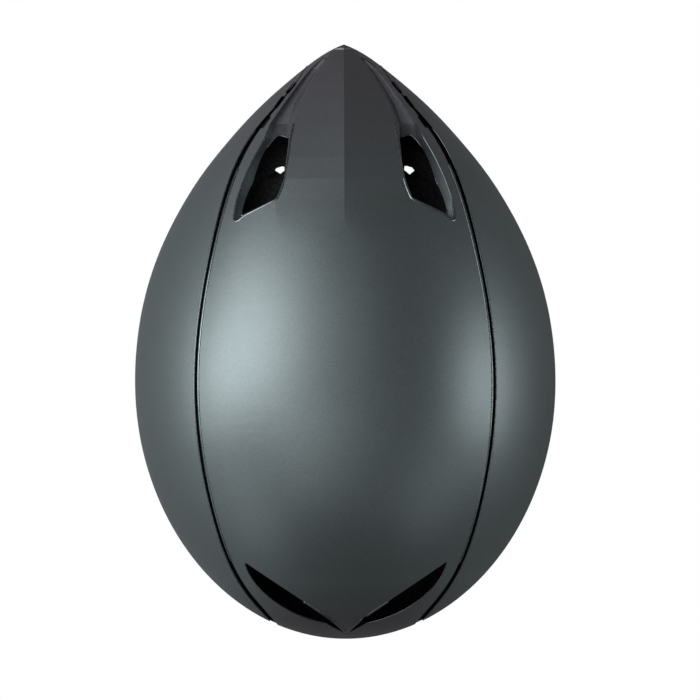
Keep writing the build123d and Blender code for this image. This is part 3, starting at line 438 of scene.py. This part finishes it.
def hullNormal(x, y):
    # (-dz/dx, -dz/dy, 1) by central differences, made unit length
    h = crownForm["step"]
    slopeX = (hullHeight(x + h, y) - hullHeight(x - h, y)) / (2 * h)
    slopeY = (hullHeight(x, y + h) - hullHeight(x, y - h)) / (2 * h)
    normal = np.stack([-slopeX, -slopeY, np.ones_like(x)], axis=-1)
    return normal / np.linalg.norm(normal, axis=1, keepdims=True)


def fadedCrown():
    # share s of the hull's normal: t^2 (3 - 2 t), with t from 0 at fadeTo up to 1 at fadeFrom
    mesh = frame["nodes"]["crown_shell"].data.copy()
    mesh.name = "crownPainted"
    count = len(mesh.loops)
    own = np.empty(count * 3)
    mesh.corner_normals.foreach_get("vector", own)
    own = own.reshape(-1, 3)
    index = np.empty(count, np.int32)
    mesh.loops.foreach_get("vertex_index", index)
    x, y, z = coordsOf(mesh)[index].T
    smooth = hullNormal(x, y)
    share = np.clip((crownForm["fadeTo"] - y) / (crownForm["fadeTo"] - crownForm["fadeFrom"]), 0, 1)
    share = share * share * (3 - 2 * share)
    share *= (own * smooth).sum(axis=1) > crownForm["likeness"]
    share *= (np.abs(x) < crownForm["halfBand"]) & (y > 0) & (hullHeight(x, y) - z < crownForm["deepest"])
    blended = own * (1 - share[:, None]) + smooth * share[:, None]
    blended /= np.linalg.norm(blended, axis=1, keepdims=True)
    mesh.normals_split_custom_set(blended.tolist())
    skin = newObject("crownPainted", mesh)
    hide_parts("crown_shell")
    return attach(skin, "helmet")


fadedCrown()
print("crown skin made")


# rolled lips on the shells' outer edges, along the grooves, the slits, the vents and the rim

lipLook = {"crease": 38.0, "facing": 0.55, "blunt": 75.0, "radii": (0.8 * mm, 0.4 * mm), "proud": 0.1 * mm,
           "reach": 1.05, "overhang": 0.6, "shortest": 5 * mm, "step": 1.0 * mm, "sides": 10, "easePath": 2,
           "easeNormals": 6, "lowest": 44 * mm, "rearmost": 128 * mm, "weld": 0.004 * mm,
           "centre": (0, 0.015, 0.06), "roughness": 0.26}
lipNodes = {"crown_shell": "crownLips", "side_shell_left": "sideLipsLeft", "side_shell_right": "sideLipsRight"}


def outerEdges(nodeName):
    # convex sharp edges between the outer skin and a wall: mean of both normals, angle between them, wall's normal
    shape = bmesh.new()
    shape.from_mesh(frame["nodes"][nodeName].data)
    bmesh.ops.remove_doubles(shape, verts=shape.verts, dist=lipLook["weld"])
    shape.normal_update()
    middle = Vector(lipLook["centre"])
    found = {}
    for edge in shape.edges:
        if not edge.is_manifold or edge.calc_face_angle_signed() < math.radians(lipLook["crease"]):
            continue
        normals = [face.normal for face in edge.link_faces]
        place = (edge.verts[0].co + edge.verts[1].co) / 2
        away = (place - middle).normalized()
        facing = max(normal.dot(away) for normal in normals)
        if place.z < lipLook["lowest"] or place.y > lipLook["rearmost"] or facing < lipLook["facing"]:
            continue
        middleWay = (normals[0] + normals[1]).normalized()
        wall = min(normals, key=lambda normal: normal.dot(away))
        found[tuple(vertex.index for vertex in edge.verts)] = (*middleWay, edge.calc_face_angle_signed(), *wall)
    points = np.array([vertex.co for vertex in shape.verts])
    shape.free()
    return points, found


def chainsOf(found):
    # edges strung into runs that end where three meet or where the line stops
    touching = {}
    for pair in found:
        for vertex in pair:
            touching.setdefault(vertex, []).append(pair)
    left = set(found)
    starts = [vertex for vertex, pairs in touching.items() if len(pairs) != 2] + list(touching)
    chains = []
    for start in starts:
        for first in touching[start]:
            if first not in left:
                continue
            chain, pair, vertex = [start], first, start
            while pair in left:
                left.remove(pair)
                vertex = pair[0] if pair[1] == vertex else pair[1]
                chain.append(vertex)
                onwards = [other for other in touching[vertex] if other in left]
                if len(touching[vertex]) != 2 or not onwards:
                    break
                pair = onwards[0]
            chains.append(chain)
    return chains


def eased(values, times):
    # each inner row moved to the mean of itself and its neighbours
    for _ in range(times):
        values = np.concatenate([values[:1], (values[:-2] + 2 * values[1:-1] + values[2:]) / 4, values[-1:]])
    return values


def lipPieces(nodeName):
    # bars about p - n d + w r overhang: d below the edge p, and out over the groove along its wall's normal w
    points, found = outerEdges(nodeName)
    pieces = []
    for chain in chainsOf(found):
        line = points[chain]
        run = np.concatenate([[0], np.cumsum(np.linalg.norm(np.diff(line, axis=0), axis=1))])
        if run[-1] < lipLook["shortest"]:
            continue
        normals = [found.get((a, b), found.get((b, a))) for a, b in zip(chain[:-1], chain[1:])]
        normals = np.array(normals + normals[-1:])
        places = np.linspace(0, run[-1], max(4, int(run[-1] / lipLook["step"])))
        path = np.stack([np.interp(places, run, line[:, k]) for k in range(3)], axis=-1)
        path = eased(path, lipLook["easePath"])
        sampled = np.stack([np.interp(places, run, column) for column in normals.T], axis=-1)
        sampled = eased(sampled, lipLook["easeNormals"])
        out, turn, wall = sampled[:, :3], sampled[:, 3:4], sampled[:, 4:]
        out /= np.linalg.norm(out, axis=1, keepdims=True)
        wide, fine = lipLook["radii"]
        radius = wide + (fine - wide) * (turn > math.radians(lipLook["blunt"]))
        radius = eased(radius, lipLook["easeNormals"])
        depth = np.minimum((radius - lipLook["proud"]) / np.cos(turn / 2), radius * lipLook["reach"])
        middle = path - out * depth + wall * radius * lipLook["overhang"]
        pieces.append(tube("lip", middle, out, radius, nodeSlots[nodeName], lipLook["sides"]))
    return pieces


lipFinish = paintFinish("lipPaint", {**paintLook, "roughness": lipLook["roughness"]})
for nodeName, name in lipNodes.items():
    lips = joined(lipPieces(nodeName))
    lips.name = name
    paint(lips, lipFinish)
    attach(lips, "helmet")
    print(name, len(lips.data.polygons), "faces")


# foam webs that close the air channels just ahead of the rear vents, so that no daylight shows through there

webSizes = {"inner": 30.7, "outer": 46.3, "front": 70.0, "rows": 32, "columns": 24, "least": 1.0, "channel": 8.0,
            "rearEdge": ((30.2, 33.5, 37.5, 37.9, 46.3), (107.7, 104.8, 104.1, 110.0, 112.0)),
            "pocket": ((68.4, 110.88), (82.9, 106.0), (126.0, 86.0)),
            "cavity": (82.0, 115.0, 138.0, 40.0), "power": 2.6, "domePower": 2.4}


def domeHeight(x, y, grow):
    # head space grown by g, in mm: z = z0 + (h - z0) (1 - s^2.4)^(1 / 2.4), s^2.6 = |x / a|^2.6 + |y / b|^2.6
    wide, long, high, shoulder = webSizes["cavity"]
    power, dome = webSizes["power"], webSizes["domePower"]
    share = ((x / (wide + grow)) ** power + (y / (long + grow)) ** power) ** (1 / power)
    return shoulder + (high + grow - shoulder) * np.clip(1 - share ** dome, 0, 1) ** (1 / dome)


def ventWeb(name, side):
    # between the head space's dome d(x, y, 0) and the lower of d(x, y, channel) and the pocket's floor f(y)
    w = webSizes
    x = np.linspace(w["inner"], w["outer"], w["columns"])[None, :]
    y = w["front"] + (np.interp(x, *w["rearEdge"]) - w["front"]) * np.linspace(0, 1, w["rows"])[:, None]
    low = domeHeight(x, y, 0.0)
    floor = np.interp(y, *zip(*w["pocket"]))
    high = np.maximum(np.minimum(domeHeight(x, y, w["channel"]), floor), low + w["least"])
    x = np.broadcast_to(side * x, low.shape)
    top, foot = np.stack([x, y, high], axis=-1), np.stack([x, y, low], axis=-1)
    points = np.concatenate([top, foot[:, ::-1]], axis=1) * mm
    web = joined([gridPiece(name, points, "foam")])
    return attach(web, "helmet")


ventWeb("ventWebLeft", 1)
ventWeb("ventWebRight", -1)
print("vent webs made: 2")


# a bead that closes the seam between crown and side where it runs over the flank of the tail

seamBead = {"places": ((23.6, 152.2, 88.0), (21.3, 155.9, 84.4), (19.35, 159.0, 81.3), (18.5, 160.3, 80.0)),
            "radius": 0.3 * mm, "corner": 2 * mm, "step": 0.5 * mm}

for side, name in ((1, "seamBeadLeft"), (-1, "seamBeadRight")):
    path = easedPath(np.array(seamBead["places"]) * (side, 1, 1) * mm, seamBead["corner"], seamBead["step"])
    upwards = np.repeat([(0.0, 0.0, 1.0)], len(path), axis=0)
    bead = tube(name, path, upwards, seamBead["radius"], "foam")
    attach(bead, "helmet")
print("seam beads made: 2")


# straps

strapSizes = {"width": 15.0 * mm, "thickness": 1.25 * mm, "divider": (74, -6, -36), "dividerHeight": 24,
              "dividerWidth": 26, "spread": 0.25, "bite": 5, "jaw": (52, -22, -70), "chin": (20, -42, -100),
              "chinMiddle": (0, -46, -106), "anchorHeight": 10.3, "anchorThickness": 3.4, "frontY": -48, "rearY": 56,
              "straight": 7.5, "socket": 25, "gap": 0.3, "plug": 13, "tail": 20, "fold": 1.45 * mm,
              "corner": 6 * mm, "step": 1.2 * mm, "foldCorner": 0.3 * mm, "foldStep": 0.4 * mm}
tackSizes = {"thread": 0.2 * mm, "turns": 9, "half": 1.3 * mm, "reach": 0.42, "sunk": 0.3, "step": 0.5 * mm,
             "sides": 6, "shortTacks": (0.28,), "longTacks": (0.965,), "otherTacks": (0.2, 0.86)}


def mirrored(points):
    return np.asarray(points, float) * np.array((-1, 1, 1))


def wallMiddle(y):
    # middle of the foam wall at the rim, where the anchor sits: its outer face less half its thickness
    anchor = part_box("front_strap_anchors" if y < 0 else "rear_strap_anchors")
    return anchor[1].x / mm - strapSizes["anchorThickness"] / 2


def strapRuns():
    # middle line of every strap: anchor to divider, divider to socket, and plug under the chin to divider
    s = strapSizes
    divider, jaw, chin, middle = (np.array(s[key], float) for key in ("divider", "jaw", "chin", "chinMiddle"))
    top = s["dividerHeight"] / 2 - s["bite"]
    neck = divider - (0, 0, top)
    down = (chin - jaw) / np.linalg.norm(chin - jaw)
    runs = {}
    for name, y, part in (("front_strap", s["frontY"], -s["spread"]), ("rear_strap", s["rearY"], s["spread"])):
        start = np.array((wallMiddle(y), y, s["anchorHeight"]))
        end = divider + (0, part * s["dividerWidth"], top)
        runs[name + "_left"] = [start, end]
        runs[name + "_right"] = mirrored([start, end])
    straight = jaw + (neck - jaw) / np.linalg.norm(neck - jaw) * s["straight"]
    runs["chin_strap_left"] = [neck, straight, jaw, jaw + down * s["bite"]]
    plugStart = jaw + down * (s["socket"] + s["gap"] + s["plug"] - s["bite"])
    runs["chin_strap_right"] = [plugStart, chin, middle, *mirrored([chin, jaw, neck])]
    return {name: np.asarray(points) * mm for name, points in runs.items()}


def tailRun(neck, straight):
    # the short strap's end turned back on itself: a half circle, then a flat run back up the strap
    along = (straight - neck) / np.linalg.norm(straight - neck)
    wide = np.array((0, 1.0, 0)) - along * along[1]
    lift = -np.cross(wide / np.linalg.norm(wide), along)
    radius = strapSizes["fold"] / 2
    centre = straight + lift * radius - along * radius
    turn = np.linspace(-math.pi / 2, math.pi / 2, curve["points"])[:, None]
    arc = centre + along * np.cos(turn) * radius + lift * np.sin(turn) * radius
    return np.concatenate([arc, [arc[-1] - along * (strapSizes["tail"] * mm - radius)]])


def barTack(points, place, face):
    # thread laid to and fro across the strap, centred a distance along its run
    t = tackSizes
    path = easedPath(points, strapSizes["corner"], t["step"])
    ahead, wide, out = framesAlong(path, np.array((0, 1.0, 0)))
    at = int(place / t["step"])
    count = 2 * t["turns"] + 1
    across = np.linspace(-t["reach"], t["reach"], count) * strapSizes["width"]
    along = np.where(np.arange(count) % 2, 1, -1) * t["half"]
    height = face * (strapSizes["thickness"] / 2 + t["thread"] * t["sunk"])
    zigzag = path[at] + wide[at] * across[:, None] + ahead[at] * along[:, None] + out[at] * height
    normals = np.repeat(out[at][None], len(zigzag), axis=0)
    return tube("thread", zigzag, normals, t["thread"], "webbing", t["sides"])


def webbing(name, points, corner, step):
    section = flatSection(strapSizes["width"], strapSizes["thickness"])
    return joined([gridPiece(name, swept(easedPath(points, corner, step), (0, 1, 0), section), "webbing")])


threadFinish = mouldedFinish("sewingThread", (0.05, 0.05, 0.055), (0.09, 0.09, 0.098), 0.7, 0.25 * mm)
runs = strapRuns()
for name, points in runs.items():
    strap = webbing(name + "Webbing", points, strapSizes["corner"], strapSizes["step"])
    length = np.linalg.norm(np.diff(points, axis=0), axis=1).sum()
    if name == "chin_strap_left":
        turned = tailRun(points[0], points[1])
        strap = joined([strap, webbing("turnedEnd", turned, strapSizes["foldCorner"], strapSizes["foldStep"])])
    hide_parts(name)
    tacks = {"chin_strap_left": "shortTacks", "chin_strap_right": "longTacks"}.get(name, "otherTacks")
    sewn = joined([barTack(points, length * place, face) for place in tackSizes[tacks] for face in (-1, 1)])
    sewn.name = name + "Stitching"
    paint(sewn, threadFinish)
    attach(sewn, "helmet")
    if name == "chin_strap_right":
        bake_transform(strap)
    else:
        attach(strap, "helmet")
print("straps made:", len(runs))


# side bands of the fit system, each from its temple pin to the nape cradle

bandLook = {"height": 12 * mm, "thickness": 1.5 * mm, "recess": 0.3 * mm, "rim": 0.72, "fall": 0.1,
            "sides": 40, "power": 6.0,
            "eye": 8 * mm, "bore": 3.1 * mm, "soft": (0.2 * mm, 0.4 * mm), "turns": 65,
            "pin": (76.2, -36.0, 48.0), "start": 4.5, "wing": (46.3, 90.96, 3.7), "bend": (39.15, 94.19, 1.85),
            "end": (32.0, 96.8, 0.0), "shares": (0.2, 0.4, 0.6, 0.76, 0.89), "inset": (2.4, 3.0),
            "cavity": (82.0, 100.0, 115.0, 2.6), "corner": 14 * mm, "step": 1.5 * mm}


def cavityHalf(y):
    # half width of the head opening: W (1 - |y / L|^n)^(1 / n), n = 2 in front and larger behind
    width, front, rear, power = bandLook["cavity"]
    if y < 0:
        return width * (1 - (y / front) ** 2) ** 0.5
    return width * (1 - (y / rear) ** power) ** (1 / power)


def bandPath():
    pin, wing = np.array(bandLook["pin"]), np.array(bandLook["wing"])
    points = [pin + (0, bandLook["start"], 0)]
    for share in bandLook["shares"]:
        y = pin[1] + (wing[1] - pin[1]) * share
        inset = bandLook["inset"][0] + bandLook["inset"][1] * share
        points.append(np.array((cavityHalf(y) - inset, y, pin[2] + (wing[2] - pin[2]) * share)))
    points += [wing, np.array(bandLook["bend"]), np.array(bandLook["end"])]
    return easedPath(np.array(points) * mm, bandLook["corner"], bandLook["step"])


def bandSection():
    # rim, recessed web and rim again: half thickness t/2 less a smooth recess for |x| < rim * w/2
    x, y = flatSection(bandLook["height"], bandLook["thickness"], bandLook["sides"], bandLook["power"])
    share = np.abs(x) / (bandLook["height"] / 2)
    fall = np.clip((bandLook["rim"] - share) / bandLook["fall"], 0, 1)
    return x, y - np.sign(y) * bandLook["recess"] * fall * fall * (3 - 2 * fall)


def eyeRing(side):
    # flat ring round the temple pin, its edges rounded like the band's
    r0, r1, t = bandLook["bore"], bandLook["eye"], bandLook["thickness"] / 2
    inner, outer = bandLook["soft"]
    half = [(r1, t * 0.6), (r1 - outer, t), (r0 + inner, t), (r0, t * 0.8)]
    profile = np.array([(r, -h) for r, h in half[::-1]] + half)
    turn = np.linspace(0, 2 * math.pi, bandLook["turns"])
    centre = np.array(bandLook["pin"]) * mm
    ring = np.empty((len(turn), len(profile), 3))
    ring[..., 0] = side * (centre[0] + profile[None, :, 1])
    ring[..., 1] = centre[1] + np.cos(turn)[:, None] * profile[None, :, 0]
    ring[..., 2] = centre[2] + np.sin(turn)[:, None] * profile[None, :, 0]
    return ring


for side, word in ((1, "Left"), (-1, "Right")):
    path = bandPath() * (side, 1, 1)
    strip = gridPiece("sideBand" + word, swept(path, (0, 0, 1), bandSection()), "bands")
    band = joined([strip, gridPiece("bandEye" + word, eyeRing(side), "bands", capped=False)])
    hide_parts("band_" + word.lower())
    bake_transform(band)
print("bands made: 2")


# pads

padFill = {"pressure": 4.0, "frames": 14, "cap": 0.9 * mm, "shrink": 0.5 * mm, "weld": 0.01 * mm}
padCells = {"brow_pad": 1.2 * mm, "crown_pad_left": 1.1 * mm, "crown_pad_right": 1.1 * mm, "side_pad_left": 1.1 * mm,
            "side_pad_right": 1.1 * mm, "cradle_pad_left": 0.6 * mm, "cradle_pad_right": 0.6 * mm}


def applyModifiers(piece):
    # the finished mesh with every modifier in it
    graph = bpy.context.evaluated_depsgraph_get()
    mesh = bpy.data.meshes.new_from_object(piece.evaluated_get(graph))
    piece.modifiers.clear()
    piece.data = mesh


def softPad(nodeName):
    # the pad's solid drawn in a little, remeshed, and blown up again by cloth pressure within a cap
    source = frame["nodes"][nodeName]
    mesh = source.data.copy()
    shape = bmesh.new()
    shape.from_mesh(mesh)
    bmesh.ops.remove_doubles(shape, verts=shape.verts, dist=padFill["weld"])
    shape.normal_update()
    for vertex in shape.verts:
        vertex.co -= vertex.normal * padFill["shrink"]
    shape.to_mesh(mesh)
    shape.free()
    pad = newObject(nodeName + "Cushion", mesh)
    remesh = pad.modifiers.new("remesh", "REMESH")
    remesh.mode = "VOXEL"
    remesh.voxel_size = padCells[nodeName]
    applyModifiers(pad)
    start = coordsOf(pad.data)
    cloth = pad.modifiers.new("cloth", "CLOTH")
    cloth.settings.use_pressure = True
    cloth.settings.uniform_pressure_force = padFill["pressure"]
    cloth.settings.effector_weights.gravity = 0
    cloth.point_cache.frame_start = 1
    cloth.point_cache.frame_end = padFill["frames"]
    for number in range(1, padFill["frames"] + 1):
        bpy.context.scene.frame_set(number)
    applyModifiers(pad)
    bpy.context.scene.frame_set(1)
    moved = coordsOf(pad.data) - start
    length = np.linalg.norm(moved, axis=1, keepdims=True)
    final = start + moved * np.minimum(1, padFill["cap"] / np.maximum(length, 1e-9))
    pad.data.vertices.foreach_set("co", final.ravel())
    smooth = pad.modifiers.new("smooth", "SUBSURF")
    smooth.levels = 1
    smooth.render_levels = 1
    applyModifiers(pad)
    paint(pad, finishes["padding"])
    pad.data.shade_smooth()
    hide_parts(nodeName)
    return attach(pad, "nape_cradle" if nodeName.startswith("cradle") else "helmet")


for name in padCells:
    pad = softPad(name)
    print(name, len(pad.data.polygons), "faces")


# camera, floor and light

studio = {"scale": 0.3525, "distance": 8.0, "turn": -0.24, "centre": (2.37 * mm, 17.6 * mm), "focus": 60 * mm,
          "world": 0.03, "floor": 0.8, "floorGloss": 0.25, "drop": 20 * mm, "floorSize": 6.0, "reach": 1.6,
          "aim": 100 * mm}


def makeCamera():
    # far above with a long lens: the picture is scale metres wide, turned and centred as in the photo
    lens = bpy.data.cameras.new("camera")
    lens.lens = lens.sensor_width * studio["distance"] / studio["scale"]
    lens.clip_start = 0.1
    lens.clip_end = 100
    camera = newObject("camera", lens)
    turn = math.radians(studio["turn"])
    right, up = studio["centre"]
    camera.location = (right * math.cos(turn) - up * math.sin(turn), right * math.sin(turn) + up * math.cos(turn),
                       studio["focus"] + studio["distance"])
    camera.rotation_euler = (0, 0, turn)
    bpy.context.scene.camera = camera


def makeFloor():
    # white to the camera, lit by the lamps for everything else, darker in gloss, and clear from below
    low, size = cadBox[0].z - studio["drop"], studio["floorSize"]
    corners = [(-size, -size, low), (size, -size, low), (size, size, low), (-size, size, low)]
    mesh = bpy.data.meshes.new("floor")
    mesh.from_pydata(corners, [], [(0, 1, 2, 3)])
    floor = newObject("floor", mesh)
    f = Finish("studioFloor", {"Roughness": 0.9})
    glossy = f.node("LightPath", out="Is Glossy Ray")
    f.feed(colour=f.blend(glossy, (studio["floor"],) * 3, (studio["floorGloss"],) * 3))
    seen = f.node("LightPath", out="Is Camera Ray")
    shown = f.node("Emission", {}, {"Color": (1, 1, 1, 1), "Strength": 1.0})
    lit = f.node("MixShader", {}, {0: seen, 1: Wire(f.tree, f.shader.outputs[0]), 2: shown})
    clear = f.node("BsdfTransparent")
    behind = f.node("NewGeometry", out="Backfacing")
    final = f.node("MixShader", {}, {0: behind, 1: lit, 2: clear})
    f.tree.links.new(final.out, f.tree.nodes["Material Output"].inputs["Surface"])
    mesh.materials.append(f.material)


def makeWorld():
    # white to the camera, and only a little light for everything else
    world = bpy.data.worlds.new("studio")
    bpy.context.scene.world = world
    world.use_nodes = True
    tree = world.node_tree
    back = tree.nodes["Background"]
    back.inputs["Color"].default_value = (1, 1, 1, 1)
    rays = Nodes(tree)
    seen = rays.node("LightPath", out="Is Camera Ray")
    through = rays.node("LightPath", out="Is Transmission Ray")
    white = seen.maths("MAXIMUM", seen, through)
    join(tree, white * (1 - studio["world"]) + studio["world"], back.inputs["Strength"])


def makeLamp(name, azimuth, height, size, power):
    # softbox on a sphere about the helmet's middle, at an azimuth from +X and a height in degrees
    lamp = bpy.data.lights.new(name, "AREA")
    lamp.shape = "SQUARE"
    lamp.size = size
    lamp.energy = power
    holder = newObject(name, lamp)
    a, e = math.radians(azimuth), math.radians(height)
    away = np.array((math.cos(e) * math.cos(a), math.cos(e) * math.sin(a), math.sin(e))) * studio["reach"]
    holder.location = away + (0, 0, studio["aim"])
    holder.rotation_mode = "QUATERNION"
    holder.rotation_quaternion = Vector(away).to_track_quat("Z", "Y")
    holder.visible_camera = False


lamps = {"keyLeft": (160, 35, 1.2, 11.5), "keyRear": (135, 50, 1.2, 3.2), "topFront": (230, 60, 1.0, 2.3),
         "stripLeft": (180, 15, 0.9, 4.8), "stripRight": (0, 9, 0.9, 5.6),
         "topRight": (0, 62, 1.0, 0.1), "topLeft": (180, 62, 1.0, 1.2),
         "lowLeft": (225, 12, 0.9, 1.3), "frontRight": (315, 25, 1.0, 1.2), "rearRight": (45, 25, 1.0, 0.3)}

makeCamera()
makeFloor()
makeWorld()
for name, values in lamps.items():
    makeLamp(name, *values)
bpy.context.scene.view_settings.view_transform = "Standard"
print("studio made")
